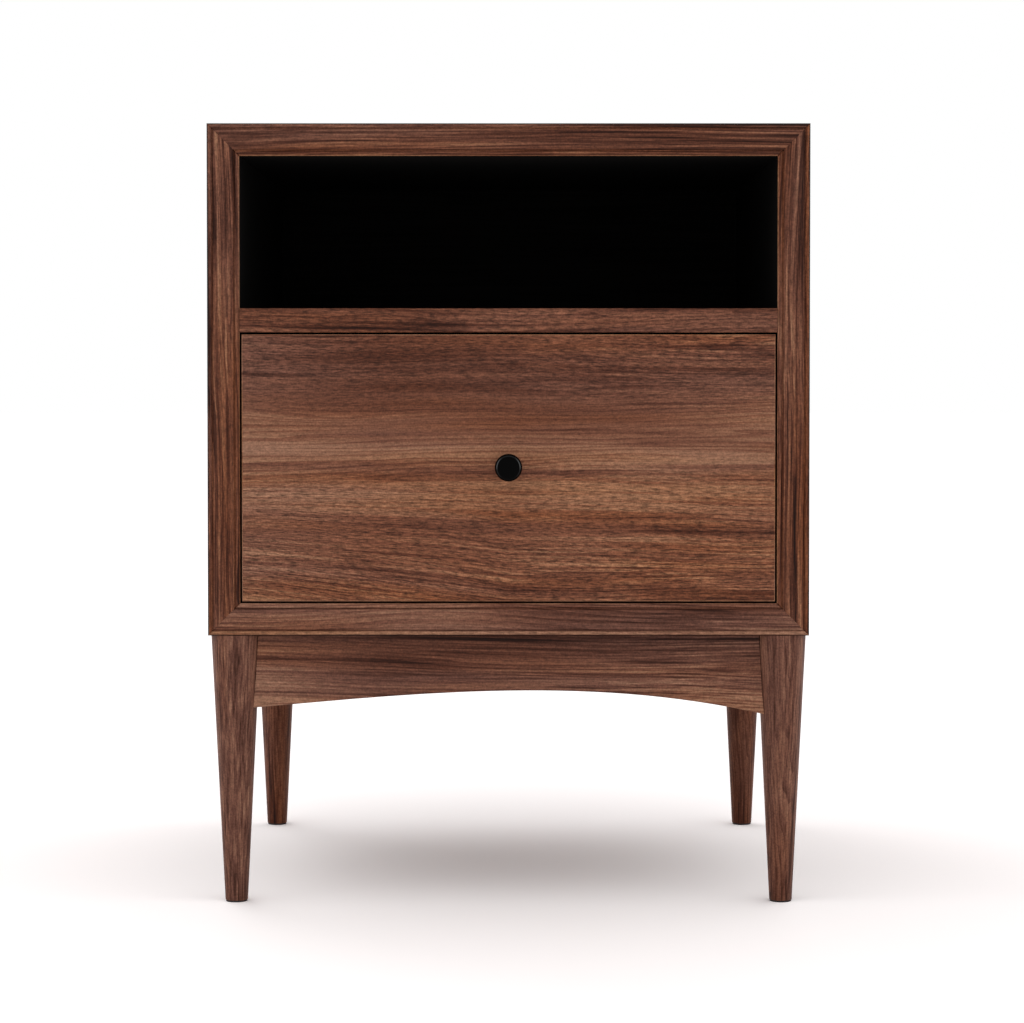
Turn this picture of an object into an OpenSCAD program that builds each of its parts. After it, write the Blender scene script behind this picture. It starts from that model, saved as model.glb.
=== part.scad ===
// Nightstand with an open niche over one drawer, on a turned-leg base.
//
// Millimetres, +Z up, +X to the viewer's right, the front faces -Y.
// The origin is on the floor, under the centre of the whole bounding box, knob included.

/* [Case] */
// Overall width of the case
case_w = 508; // [450:1:640]
// Depth of the case from its front face to its back
case_d = 457; // [450:1:560]
// Height of the case without the base
case_h = 431.8; // [400:0.1:520]
// Thickness of the case boards, which is the width of the face frame too
board_t = 27.4; // [24:0.1:32]
// Thickness of the solid strips glued over the front edges of the boards
lipping_t = 6; // [4:0.5:12]
// Width of the sloping band along each edge of the face frame
band_w = 4; // [3:0.1:6]
// How far a band falls back from the front towards its edge
band_fall = 1; // [0.4:0.1:2]
// Width and depth of the groove between a band and the flat
groove = 0.8; // [0.5:0.1:1.5]
// Thickness of the back panel
back_t = 6; // [4:0.5:9]
// Overlap of the back panel on the boards that hold it
rabbet_w = 10; // [8:0.5:12]
// Thickness of the splines in the mitred corners
spline_t = 4; // [3:0.5:5]
// Width of the splines, across the mitre
spline_w = 18; // [12:1:20]

/* [Niche and divider] */
// Thickness of the divider between the niche and the drawer
divider_t = 20.3; // [16:0.1:25]
// Clear height of the drawer opening under the divider
drawer_opening_h = 228.6; // [215:0.1:250]
// Depth of the dados that hold the divider
dado_d = 8; // [5:0.5:12]
// Bevel that eases the divider's and the drawer front's edges
ease = 0.8; // [0.4:0.1:1.5]

/* [Drawer] */
// Gap round the drawer front
front_gap = 1.7; // [0.8:0.1:3]
// Thickness of the drawer front
front_t = 19; // [16:0.5:22]
// Height of the drawer box
box_h = 180; // [150:1:195]
// Height of the drawer box above the floor of its opening
box_lift = 20; // [8:1:30]
// Depth of the drawer box from front to back
box_d = 396; // [388:1:410]
// Thickness of the box's sides, front and back
box_t = 12; // [11:0.5:15]
// Thickness of the drawer bottom
bottom_t = 6; // [4:0.5:9]
// Height of the drawer bottom above the box's lower edge
bottom_lift = 12; // [8:0.5:18]
// Depth of the grooves that hold the drawer bottom
bottom_groove = 6; // [3:0.5:8]
// Number of dovetail tails at each corner
tails = 6; // [4:1:8]
// Width of each tail at its narrow root, as a share of its pitch
tail_share = 0.62; // [0.5:0.01:0.7]
// Slope of the tails' cheeks
tail_slope = 0.14; // [0.08:0.01:0.18]

/* [Slides] */
// Length of the cabinet members
slide_l = 400; // [392:1:410]
// How much shorter a drawer member is
member_short = 10; // [8:1:14]
// How much shorter a middle member is
middle_short = 20; // [18:1:30]
// Distance of the slides' front ends behind the drawer front
slide_set_back = 2; // [1:0.5:4]
// Distance of the middle members' front ends behind the other members'
middle_set_back = 6; // [4:0.5:8]
// Distance of a slide's first screw behind its front end
first_screw = 35; // [25:1:60]
// Distance of its last screw in front of its rear end
last_screw = 50; // [40:1:80]
// How far the drawer slides out
slide_travel = 380; // [300:5:380]
// Thickness of a slide, case side to drawer side
slide_w = 12.7; // [12.5:0.1:13.5]
// Height of a cabinet member
slide_h = 45.6; // [45:0.1:50]
// Height of the slides' centre line above the box's lower edge
slide_lift = 75; // [50:1:100]
// Thickness of the rolled steel sheet
sheet_t = 1.2; // [1:0.1:1.3]
// Radius of the balls
ball_r = 1.6; // [1.4:0.05:1.65]
// Play of a ball between its two raceways, on each side
ball_play = 0.05; // [0.02:0.01:0.08]
// Balls in each row
balls_per_row = 8; // [4:1:10]

/* [Base] */
// Height of the legs, from the floor to the case
leg_h = 228.6; // [200:0.1:280]
// Radius of a leg at its top
leg_top_r = 21; // [18:0.1:22]
// Radius of a leg at its foot
leg_foot_r = 9.6; // [8:0.1:14]
// Distance of the leg axes from the faces of the case
leg_inset = 21.8; // [21:0.1:30]
// Thickness of the rails
rail_t = 18; // [16:0.5:20]
// Height of the rear and side rails
rail_h = 60; // [50:1:70]
// Height of the front apron at the crown of its arch
apron_crown_h = 47.8; // [42:0.1:60]
// Height of the front apron at its left leg
apron_left_h = 63.8; // [56:0.1:80]
// Height of the front apron at its right leg
apron_right_h = 71.7; // [56:0.1:80]
// Distance of the crown to the right of the centre
apron_crown_x = 20; // [-40:1:40]
// Radius of the dowels between the rails and the legs
dowel_r = 4; // [3:0.5:4]
// Length of the dowels, half of it in each piece
dowel_l = 26; // [20:1:28]
// Distance between the centres of the two dowels of a joint
dowel_pitch = 28; // [26:1:30]
// Height of the corner blocks
block_h = 44; // [42:1:48]
// Thickness of the corner blocks, square to their long faces
block_t = 21; // [18:0.5:24]
// Gap between a corner block and its leg
block_gap = 2; // [1:0.5:4]
// Distance of a rail screw from the tip of its corner block
block_screw_inset = 10; // [9:0.5:11]
// Distance along the rail from that screw to the screw into the case
block_screw_pitch = 10; // [9:0.5:12]
// Distance of the screw into the case from the rail
base_screw_inset = 6; // [5:0.5:7]
// Radius of the foot glides
glide_r = 9.1; // [7:0.1:9.5]
// Thickness of the foot glides
glide_t = 1.5; // [1:0.1:4]

/* [Knob and fasteners] */
// Radius of the knob
knob_r = 11.5; // [9:0.1:14]
// Height of the knob over the middle of the drawer
knob_rise = 1; // [0:0.5:40]
// Distance of the knob's top from the drawer front
knob_reach = 24; // [20:0.5:30]
// Thickness of the knob's head
knob_head_h = 9; // [7:0.5:11]
// Radius of the knob's neck
knob_neck_r = 5; // [4:0.1:6]
// Radius of the knob's base
knob_base_r = 7; // [6.2:0.1:9]
// Radius of the wood screws
screw_r = 1.75; // [1.5:0.05:2]
// Length of the back panel's screws
back_screw_l = 20; // [14:1:26]
// Length of the drawer front's screws, under their heads
front_screw_l = 25; // [20:1:26]
// Length of the cabinet members' screws, under their heads
cabinet_screw_l = 15; // [10:1:20]
// Length of the drawer members' screws, under their heads
member_screw_l = 9; // [6:0.5:9.5]
// Length of the screws from the corner blocks into the rails, under their heads
block_screw_l = 22; // [16:1:24]
// Length of the screws that hold the base to the case, under their heads
base_screw_l = 62; // [56:1:66]
// Radius of the hanger bolts
bolt_r = 4; // [3:0.5:4]
// Length of a hanger bolt in the leg
bolt_leg_l = 26; // [18:1:28]

/* [Hidden] */
$fn = 48;

walnut = "#6b4436";
walnut_light = "#7d5140";
walnut_dark = "#55342a";
birch = "#d8bd92";
black = "#161414";
steel = "#b4b8bc";
zinc = "#c9c9c4";

// A cut runs this far past the face it opens.
past = 1;
// Clearance of a hole round a screw that passes through it.
hole_play = 0.3;

// Levels, from the floor up.
case_z = leg_h;
case_top = case_z + case_h;
floor_z = case_z + board_t;
divider_z = floor_z + drawer_opening_h;
niche_z = divider_z + divider_t;
niche_top = case_top - board_t;
front_mid_z = (floor_z + divider_z) / 2;

// Depths, from the front to the back.
front_y = -(case_d - knob_reach) / 2;
back_y = front_y + case_d;
board_y = front_y + lipping_t;
rabbet_y = back_y - back_t;
box_y = front_y + front_t;

// Widths.
inner_w = case_w - 2 * board_t;
box_w = inner_w - 2 * slide_w;

// ---------------------------------------------------------------- shared shapes

function reversed(points) = [for (i = [len(points) - 1:-1:0]) points[i]];

// Extrudes an outline drawn in X and Z between two depths.
module along_y(y0, y1) {
    translate([0, y1, 0]) rotate([90, 0, 0]) linear_extrude(y1 - y0) children();
}

// A pan-head screw along +Z, with the underside of its head at the origin.
head_h = 1.4;
head_share = 2.1;
module pan_screw(l, r = screw_r) {
    point = 2 * r;
    cylinder(h = l - point, r = r);
    translate([0, 0, l - point]) cylinder(h = point, r1 = r, r2 = r / 8);
    translate([0, 0, -head_h]) cylinder(h = head_h, r = head_share * r);
}

// A countersunk screw along +Z, with the top of its head at the origin.
module flat_screw(l, r = screw_r) {
    point = 2 * r;
    cylinder(h = r, r1 = 2 * r, r2 = r);
    translate([0, 0, r]) cylinder(h = l - point - r, r = r);
    translate([0, 0, l - point]) cylinder(h = point, r1 = r, r2 = r / 8);
}

// ---------------------------------------------------------------- case boards

// Places a strip, drawn with its outer edge on X and its body below it, on one
// side of the case.
module on_side(side) {
    middle = case_z + case_h / 2;
    if (side == "top") translate([0, case_top]) children();
    if (side == "bottom") translate([0, case_z]) mirror([0, 1, 0]) children();
    if (side == "left") translate([-case_w / 2, middle]) rotate(90) children();
    if (side == "right") translate([case_w / 2, middle]) rotate(-90) children();
}

function side_length(side) = side == "top" || side == "bottom" ? case_w : case_h;

// The mitred outline that a board and its lipping share.
module mitred(side) {
    half = side_length(side) / 2;
    on_side(side) polygon([
        [-half, 0], [half, 0], [half - board_t, -board_t], [-half + board_t, -board_t],
    ]);
}

module case_board(side) {
    difference() {
        along_y(board_y, back_y) mitred(side);
        back_panel();
        mitre_splines();
        back_screws();
    }
}

module top_panel() {
    color(walnut) case_board("top");
}

module bottom_panel() {
    color(walnut) difference() {
        case_board("bottom");
        base_screws();
    }
}

module side_panel_left() {
    color(walnut) difference() {
        case_board("left");
        divider_panel();
        slide_cabinet_screws();
    }
}

module side_panel_right() {
    color(walnut) difference() {
        case_board("right");
        divider_panel();
        slide_cabinet_screws();
    }
}

// One spline lies across the middle of each mitre, from the lipping to the rabbet.
module mitre_splines() {
    color(birch) along_y(board_y, rabbet_y)
        for (x = [-1, 1], z = [-1, 1])
            translate([x * (case_w - board_t) / 2, case_z + case_h / 2 + z * (case_h - board_t) / 2])
                rotate(-x * z * 45) square([spline_w, spline_t], center = true);
}

// ---------------------------------------------------------------- face frame

// One edge of a strip's moulded section: across the strip from its edge, and back
// from the front. The other edge mirrors it.
moulding = [
    [0, band_fall], [band_w, 0], [band_w, groove], [band_w + groove, groove], [band_w + groove, 0],
];

// The section, drawn with the outer edge at the origin, runs past the back so that
// the outline cuts it off there.
strip_section = concat(
    [[0, lipping_t + past]], moulding,
    [for (p = reversed(moulding)) [board_t - p[0], p[1]]],
    [[board_t, lipping_t + past]]
);

// A moulded strip, cut to its mitres by the outline it shares with its board.
module face_frame(side) {
    length = side_length(side);
    color(walnut) intersection() {
        along_y(front_y, board_y) mitred(side);
        translate([0, front_y, 0]) rotate([90, 0, 0]) on_side(side)
            translate([-length / 2, 0, 0]) rotate([90, 0, 90]) linear_extrude(length)
                polygon(-strip_section);
    }
}

module face_frame_top() {
    face_frame("top");
}

module face_frame_bottom() {
    face_frame("bottom");
}

module face_frame_left() {
    face_frame("left");
}

module face_frame_right() {
    face_frame("right");
}

// ---------------------------------------------------------------- divider and back

module divider_panel() {
    color(walnut_dark) translate([-inner_w / 2 - dado_d, board_y, divider_z])
        cube([inner_w + 2 * dado_d, rabbet_y - board_y, divider_t]);
}

// The lipping fills the width between the face frame's stiles.
module divider_lipping() {
    color(walnut)
        translate([-inner_w / 2, 0, 0]) rotate([90, 0, 90]) linear_extrude(inner_w) polygon([
            [front_y, divider_z + ease], [front_y + ease, divider_z],
            [board_y, divider_z], [board_y, niche_z],
            [front_y + ease, niche_z], [front_y, niche_z - ease],
        ]);
}

module back_panel() {
    width = inner_w + 2 * rabbet_w;
    color(black) difference() {
        translate([-width / 2, rabbet_y, floor_z - rabbet_w])
            cube([width, back_t, case_h - 2 * board_t + 2 * rabbet_w]);
        back_screws();
    }
}

// Screws stand in the middle of the rabbet: three along the top and bottom, and two
// up each side, beside the middle of the drawer opening and of the niche.
module back_screws() {
    side_x = (inner_w + rabbet_w) / 2;
    inset = 30;
    places = [
        for (x = [-side_x + inset, 0, side_x - inset])
            for (z = [floor_z - rabbet_w / 2, niche_top + rabbet_w / 2]) [x, z],
        for (x = [-side_x, side_x])
            for (z = [front_mid_z, (niche_z + niche_top) / 2]) [x, z],
    ];
    color(zinc) for (p = places)
        translate([p[0], back_y, p[1]]) rotate([90, 0, 0]) flat_screw(back_screw_l);
}

// ---------------------------------------------------------------- base

leg_x = case_w / 2 - leg_inset;
leg_front_y = front_y + leg_inset;
leg_rear_y = back_y - leg_inset;
bolt_z = leg_h - block_h / 2;
// Distances of a corner block's two long faces from its leg's axis.
block_near = leg_top_r + block_gap;
block_far = block_near + block_t;
// Places in a corner, measured from the leg's axis along the two rails.
rail_screw_at = block_far * sqrt(2) - rail_t / 2 - block_screw_inset;
base_screw_at = [rail_screw_at - block_screw_pitch, rail_t / 2 + base_screw_inset];

// Places its children at all four legs, turned so that +X and +Y point along the
// two rails of the corner.
module at_corners() {
    for (x = [-1, 1], y = [-1, 1])
        translate([x * leg_x, y == -1 ? leg_front_y : leg_rear_y, 0])
            mirror([x == 1 ? 1 : 0, 0, 0]) mirror([0, y == 1 ? 1 : 0, 0]) children();
}

// The straight taper of a leg. With more than 0 over, it runs on above the top, to
// cut the rails.
module leg_blank(x, y, over = 0) {
    taper = (leg_top_r - leg_foot_r) / (leg_h - glide_t);
    translate([x, y, glide_t])
        cylinder(h = leg_h - glide_t + over, r1 = leg_foot_r, r2 = leg_top_r + over * taper);
}

module leg(x, y) {
    difference() {
        leg_blank(x, y);
        rail_dowels();
        hanger_bolts();
        foot_glides();
    }
}

module leg_front_left() {
    color(walnut_light) leg(-leg_x, leg_front_y);
}

module leg_front_right() {
    color(walnut_light) leg(leg_x, leg_front_y);
}

module leg_rear_left() {
    color(walnut_light) leg(-leg_x, leg_rear_y);
}

module leg_rear_right() {
    color(walnut_light) leg(leg_x, leg_rear_y);
}

module leg_blanks() {
    for (x = [-leg_x, leg_x], y = [leg_front_y, leg_rear_y]) leg_blank(x, y, past);
}

// The arch hangs from its crown by a square and a cube term, chosen so that it
// meets each leg at the height given for that end.
function arch_rise(end_h, run) = (end_h - apron_crown_h) / pow(run, 2);
arch_left_run = -leg_x - apron_crown_x;
arch_right_run = leg_x - apron_crown_x;
arch_skew = (arch_rise(apron_right_h, arch_right_run) - arch_rise(apron_left_h, arch_left_run))
    / (arch_right_run - arch_left_run);
arch_bend = arch_rise(apron_right_h, arch_right_run) - arch_skew * arch_right_run;
function arch_h(run) = apron_crown_h + arch_bend * pow(run, 2) + arch_skew * pow(run, 3);

// Each rail is scribed to the round legs at its ends.
module apron_front() {
    steps = 32;
    color(walnut_light) difference() {
        along_y(leg_front_y - rail_t / 2, leg_front_y + rail_t / 2) polygon([
            [-leg_x, leg_h],
            for (i = [0:steps])
                let (x = -leg_x + i * 2 * leg_x / steps) [x, leg_h - arch_h(x - apron_crown_x)],
            [leg_x, leg_h],
        ]);
        leg_blanks();
        rail_dowels();
        corner_block_screws();
    }
}

module rail_rear() {
    color(walnut_light) difference() {
        translate([-leg_x, leg_rear_y - rail_t / 2, leg_h - rail_h]) cube([2 * leg_x, rail_t, rail_h]);
        leg_blanks();
        rail_dowels();
        corner_block_screws();
    }
}

module side_rail(x) {
    difference() {
        translate([x - rail_t / 2, leg_front_y, leg_h - rail_h])
            cube([rail_t, leg_rear_y - leg_front_y, rail_h]);
        leg_blanks();
        rail_dowels();
        corner_block_screws();
    }
}

module rail_left() {
    color(walnut_light) side_rail(-leg_x);
}

module rail_right() {
    color(walnut_light) side_rail(leg_x);
}

// Two dowels pin each rail end, one above and one below the hanger bolt.
module rail_dowels() {
    color(birch) at_corners()
        for (turn = [0, 1], z = [-dowel_pitch / 2, dowel_pitch / 2])
            translate([0, 0, bolt_z + z]) mirror([turn, -turn, 0])
                translate([leg_top_r - dowel_l / 2, 0, 0]) rotate([0, 90, 0])
                    cylinder(h = dowel_l, r = dowel_r);
}

// A block bridges each corner behind its leg, with long faces square to the bolt.
module corner_blocks() {
    near = block_near * sqrt(2) - rail_t / 2;
    far = block_far * sqrt(2) - rail_t / 2;
    side = rail_t / 2;
    color(birch) difference() {
        at_corners() translate([0, 0, leg_h - block_h]) linear_extrude(block_h)
            polygon([[near, side], [far, side], [side, far], [side, near]]);
        at_corners() {
            rotate([0, 0, 45]) translate([block_near - past, 0, bolt_z]) rotate([0, 90, 0])
                cylinder(h = block_t + 2 * past, r = bolt_r + hole_play);
            translate([base_screw_at[0], base_screw_at[1], leg_h - block_h - past])
                cylinder(h = block_h + 2 * past, r = screw_r + hole_play);
            translate([base_screw_at[1], base_screw_at[0], leg_h - block_h - past])
                cylinder(h = block_h + 2 * past, r = screw_r + hole_play);
            rail_screw_pocket();
            mirror([1, -1, 0]) rail_screw_pocket();
        }
    }
}

// Wood left under the head of a screw that runs from a block into a rail.
pocket_seat = 8;

// The hole and the flat-bottomed pocket for one of those screws.
module rail_screw_pocket() {
    translate([rail_screw_at, 0, bolt_z]) rotate([-90, 0, 0]) {
        cylinder(h = block_far, r = screw_r + hole_play);
        translate([0, 0, rail_t / 2 + pocket_seat]) cylinder(h = block_far, r = head_share * screw_r + 1);
    }
}

module corner_block_screws() {
    color(zinc) at_corners() for (turn = [0, 1]) mirror([turn, -turn, 0])
        translate([rail_screw_at, rail_t / 2 + pocket_seat, bolt_z]) rotate([90, 0, 0])
            pan_screw(block_screw_l);
}

// These run up through the blocks into the bottom of the case.
module base_screws() {
    color(zinc) at_corners() for (turn = [0, 1]) mirror([turn, -turn, 0])
        translate([base_screw_at[0], base_screw_at[1], leg_h - block_h]) pan_screw(base_screw_l);
}

washer_t = 1.6;
nut_t = 6.5;
bolt_tail = 3;

// Stands on a corner block's far face, with +Z along the bolt, away from the leg.
module on_block_face() {
    at_corners() rotate([0, 0, 45]) translate([block_far, 0, bolt_z]) rotate([0, 90, 0]) children();
}

module hanger_bolts() {
    surface_at = leg_top_r - bolt_leg_l;
    color(zinc) at_corners() rotate([0, 0, 45]) translate([surface_at, 0, bolt_z]) rotate([0, 90, 0])
        cylinder(h = block_far - surface_at + washer_t + nut_t + bolt_tail, r = bolt_r);
}

module hanger_washers() {
    color(zinc) on_block_face() difference() {
        cylinder(h = washer_t, r = 2.2 * bolt_r);
        translate([0, 0, -past]) cylinder(h = washer_t + 2 * past, r = bolt_r);
    }
}

module hanger_nuts() {
    color(zinc) on_block_face() translate([0, 0, washer_t]) difference() {
        cylinder(h = nut_t, r = 1.85 * bolt_r, $fn = 6);
        translate([0, 0, -past]) cylinder(h = nut_t + 2 * past, r = bolt_r);
    }
}

// A nylon disc on a nail under each foot.
module foot_glides() {
    nail_l = 15;
    color(black) at_corners() {
        cylinder(h = glide_t, r = glide_r);
        cylinder(h = glide_t + nail_l, r = screw_r);
    }
}

// ---------------------------------------------------------------- slides

// A full-extension slide has three rolled steel members, one inside the other, with
// a row of balls above and below between each two. Its section is drawn with U
// across it, from the case side to the drawer side, and V up from its centre line.
slide_z = floor_z + box_lift + slide_lift;
slide_y = box_y + slide_set_back;
middle_l = slide_l - middle_short;
member_l = slide_l - member_short;
// Distances of the screws behind the front end of a slide.
slide_screws = [first_screw, (first_screw + slide_l - last_screw) / 2, slide_l - last_screw];

// Running gap between a lip or a retainer strip and its neighbours.
strip_play = 0.3;
strip_t = 0.8;
lip_u = 1;
lip_v = 0.9;

// From the case side inwards: the outer ball row, the lip that keeps it in, and
// the lip of the cabinet member over both.
middle_u = sheet_t + head_h + 0.4;
outer_ball_u = middle_u + ball_r + 0.4;
keeper_u = outer_ball_u + ball_r + strip_play;
outer_lip_u = keeper_u + lip_u + 0.4;
// From the middle member's web to the drawer side: the inner ball row and its lips.
inner_u = middle_u + sheet_t + 0.5;
inner_ball_u = inner_u + lip_u + 0.2 + ball_r;
tip_u = inner_ball_u + ball_r + 3 * strip_play;

// From the top down: the raceways and the ball rows between them.
outer_race_v = slide_h / 2 - sheet_t;
outer_ball_v = outer_race_v - ball_play - ball_r;
middle_v = outer_ball_v - ball_r - ball_play;
middle_race_v = middle_v - sheet_t;
inner_ball_v = middle_race_v - ball_play - ball_r;
inner_v = inner_ball_v - ball_r - ball_play;

// Puts a child made for the left slide on either side of the case.
module on_slide(side) {
    mirror([side == "left" ? 0 : 1, 0, 0]) translate([-inner_w / 2, 0, slide_z]) children();
}

// Puts a child at each screw of a slide, on its centre line.
module at_slide_screws(side) {
    on_slide(side) for (d = slide_screws) translate([0, slide_y + d, 0]) children();
}

module both_halves() {
    children();
    mirror([0, 1]) children();
}

// A rectangle between two corners.
module patch(u0, v0, u1, v1) {
    translate([u0, v0]) square([u1 - u0, v1 - v0]);
}

module slide_cabinet(side) {
    lip_end_v = outer_ball_v - strip_t / 2 - 0.15;
    color(steel) difference() {
        on_slide(side) along_y(slide_y, slide_y + slide_l) both_halves() {
            patch(0, 0, sheet_t, slide_h / 2);
            patch(0, outer_race_v, outer_lip_u + sheet_t, slide_h / 2);
            patch(outer_lip_u, lip_end_v, outer_lip_u + sheet_t, slide_h / 2);
        }
        slide_cabinet_screws();
    }
}

// Holes in the web of the middle member let a driver reach the cabinet screws.
module slide_middle(side) {
    y0 = slide_y + middle_set_back;
    reach_r = head_share * screw_r + 1.4;
    color(steel) difference() {
        on_slide(side) along_y(y0, y0 + middle_l) both_halves() {
            patch(middle_u, 0, middle_u + sheet_t, middle_v);
            patch(middle_u, middle_race_v, tip_u + lip_u, middle_v);
            patch(keeper_u, middle_race_v, keeper_u + lip_u, middle_v + lip_v);
            patch(tip_u, inner_ball_v + strip_t / 2 - 0.2, tip_u + lip_u, middle_v);
        }
        at_slide_screws(side) rotate([0, 90, 0]) cylinder(h = inner_u, r = reach_r);
    }
}

module slide_member(side) {
    color(steel) difference() {
        on_slide(side) along_y(slide_y, slide_y + member_l) both_halves() {
            patch(slide_w - sheet_t, 0, slide_w, inner_v);
            patch(inner_u, inner_v - sheet_t, slide_w, inner_v);
            patch(inner_u, inner_v - sheet_t, inner_u + lip_u, inner_v + lip_v);
        }
        slide_drawer_screws();
    }
}

// A retainer is as long as the overlap of the members at full extension allows, less
// an end play.
retainer_play = 8;
retainer_l = middle_set_back + middle_l - slide_travel / 2 - 2 * retainer_play;
ball_pitch = retainer_l / balls_per_row;
outer_retainer_y = slide_y + (middle_set_back + middle_l) / 2;
inner_retainer_y = slide_y + (middle_set_back + member_l) / 2;

// Puts a child at every ball of the two rows between two members.
module at_balls(side, u, v, y) {
    on_slide(side) for (row = [-v, v], i = [0.5:balls_per_row - 0.5])
        translate([u, y + i * ball_pitch - retainer_l / 2, row]) children();
}

module balls(side, u, v, y) {
    color(steel) at_balls(side, u, v, y) sphere(r = ball_r);
}

// Two strips with a hole for each ball.
module retainer(side, u0, u1, u, v, y) {
    color(zinc) difference() {
        on_slide(side) along_y(y - retainer_l / 2, y + retainer_l / 2) both_halves()
            patch(u0, v - strip_t / 2, u1, v + strip_t / 2);
        at_balls(side, u, v, y) cylinder(h = 2 * strip_t, r = ball_r + ball_play, center = true);
    }
}

module outer_retainer(side) {
    retainer(side, sheet_t + strip_play, outer_lip_u - strip_play,
        outer_ball_u, outer_ball_v, outer_retainer_y);
}

module inner_retainer(side) {
    retainer(side, middle_u + sheet_t + strip_play, tip_u - strip_play,
        inner_ball_u, inner_ball_v, inner_retainer_y);
}

module slide_cabinet_left() {
    slide_cabinet("left");
}

module slide_cabinet_right() {
    slide_cabinet("right");
}

module slide_middle_left() {
    slide_middle("left");
}

module slide_middle_right() {
    slide_middle("right");
}

module slide_drawer_left() {
    slide_member("left");
}

module slide_drawer_right() {
    slide_member("right");
}

module outer_retainer_left() {
    outer_retainer("left");
}

module outer_retainer_right() {
    outer_retainer("right");
}

module inner_retainer_left() {
    inner_retainer("left");
}

module inner_retainer_right() {
    inner_retainer("right");
}

module outer_balls_left() {
    balls("left", outer_ball_u, outer_ball_v, outer_retainer_y);
}

module outer_balls_right() {
    balls("right", outer_ball_u, outer_ball_v, outer_retainer_y);
}

module inner_balls_left() {
    balls("left", inner_ball_u, inner_ball_v, inner_retainer_y);
}

module inner_balls_right() {
    balls("right", inner_ball_u, inner_ball_v, inner_retainer_y);
}

// A rubber block at the back of each cabinet member stops the closing drawer.
module slide_bumpers() {
    gap = 0.3;
    color(black) for (side = ["left", "right"]) on_slide(side)
        along_y(slide_y + member_l + gap, slide_y + slide_l)
            patch(sheet_t, -inner_v, slide_w - sheet_t, inner_v);
}

module slide_cabinet_screws() {
    color(zinc) for (side = ["left", "right"]) at_slide_screws(side)
        translate([sheet_t, 0, 0]) rotate([0, -90, 0]) pan_screw(cabinet_screw_l);
}

module slide_drawer_screws() {
    color(zinc) for (side = ["left", "right"]) at_slide_screws(side)
        translate([slide_w - sheet_t, 0, 0]) rotate([0, 90, 0]) pan_screw(member_screw_l);
}

// ---------------------------------------------------------------- drawer

box_z = floor_z + box_lift;
box_back_y = box_y + box_d;

// Two eased outlines, one seen from the side and one from above, cross to make the
// bevelled board.
module drawer_front() {
    half = inner_w / 2 - front_gap;
    z0 = floor_z + front_gap;
    z1 = divider_z - front_gap;
    color(walnut_light) difference() {
        intersection() {
            translate([-half, 0, 0]) rotate([90, 0, 90]) linear_extrude(2 * half) polygon([
                [front_y, z0 + ease], [front_y + ease, z0], [box_y, z0],
                [box_y, z1], [front_y + ease, z1], [front_y, z1 - ease],
            ]);
            translate([0, 0, z0]) linear_extrude(z1 - z0) polygon([
                [-half + ease, front_y], [half - ease, front_y], [half, front_y + ease],
                [half, box_y], [-half, box_y], [-half, front_y + ease],
            ]);
        }
        drawer_front_screws();
        knob_screw_hole();
    }
}

// The points of one end of a drawer side, from its lower edge up. The tails flare
// from their roots to the end, and the pins of the front and back fill what they leave.
function tail_points(root_y, end_y) =
    let (
        pitch = box_h / tails,
        root_half = tail_share * pitch / 2,
        end_half = root_half + tail_slope * box_t
    ) [
        [root_y, box_z],
        for (i = [0.5:tails - 0.5], p = [
            [root_y, -root_half], [end_y, -end_half], [end_y, end_half], [root_y, root_half],
        ]) [p[0], box_z + i * pitch + p[1]],
        [root_y, box_z + box_h],
    ];

// A drawer side before it is grooved for the bottom.
module side_blank(side) {
    mirror([side == "left" ? 0 : 1, 0, 0]) translate([-box_w / 2, 0, 0])
        rotate([90, 0, 90]) linear_extrude(box_t) polygon(concat(
            tail_points(box_y + box_t, box_y),
            reversed(tail_points(box_back_y - box_t, box_back_y))
        ));
}

module drawer_side(side) {
    color(birch) difference() {
        side_blank(side);
        drawer_bottom();
        slide_drawer_screws();
    }
}

module drawer_side_left() {
    drawer_side("left");
}

module drawer_side_right() {
    drawer_side("right");
}

// The front or the back of the box, cut to leave the pins.
module pin_board(y) {
    difference() {
        translate([-box_w / 2, y, box_z]) cube([box_w, box_t, box_h]);
        side_blank("left");
        side_blank("right");
        drawer_bottom();
    }
}

module drawer_box_front() {
    color(birch) difference() {
        pin_board(box_y);
        drawer_front_screws();
        knob_screw_hole();
    }
}

module drawer_box_back() {
    color(birch) pin_board(box_back_y - box_t);
}

// The bottom lies in a groove all round.
module drawer_bottom() {
    inset = box_t - bottom_groove;
    color(birch) translate([-box_w / 2 + inset, box_y + inset, box_z + bottom_lift])
        cube([box_w - 2 * inset, box_d - 2 * inset, bottom_t]);
}

module drawer_front_screws() {
    side_inset = 30;
    end_inset = 35;
    color(zinc) for (x = [-1, 1], z = [box_z + end_inset, box_z + box_h - end_inset])
        translate([x * (box_w / 2 - box_t - side_inset), box_y + box_t, z])
            rotate([90, 0, 0]) pan_screw(front_screw_l);
}

// ---------------------------------------------------------------- knob

knob_screw_r = 2;
knob_thread_l = 12;

// Stands on the drawer front with +Z along the knob's axis, towards the viewer.
module on_front() {
    translate([0, front_y, front_mid_z + knob_rise]) rotate([90, 0, 0]) children();
}

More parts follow.
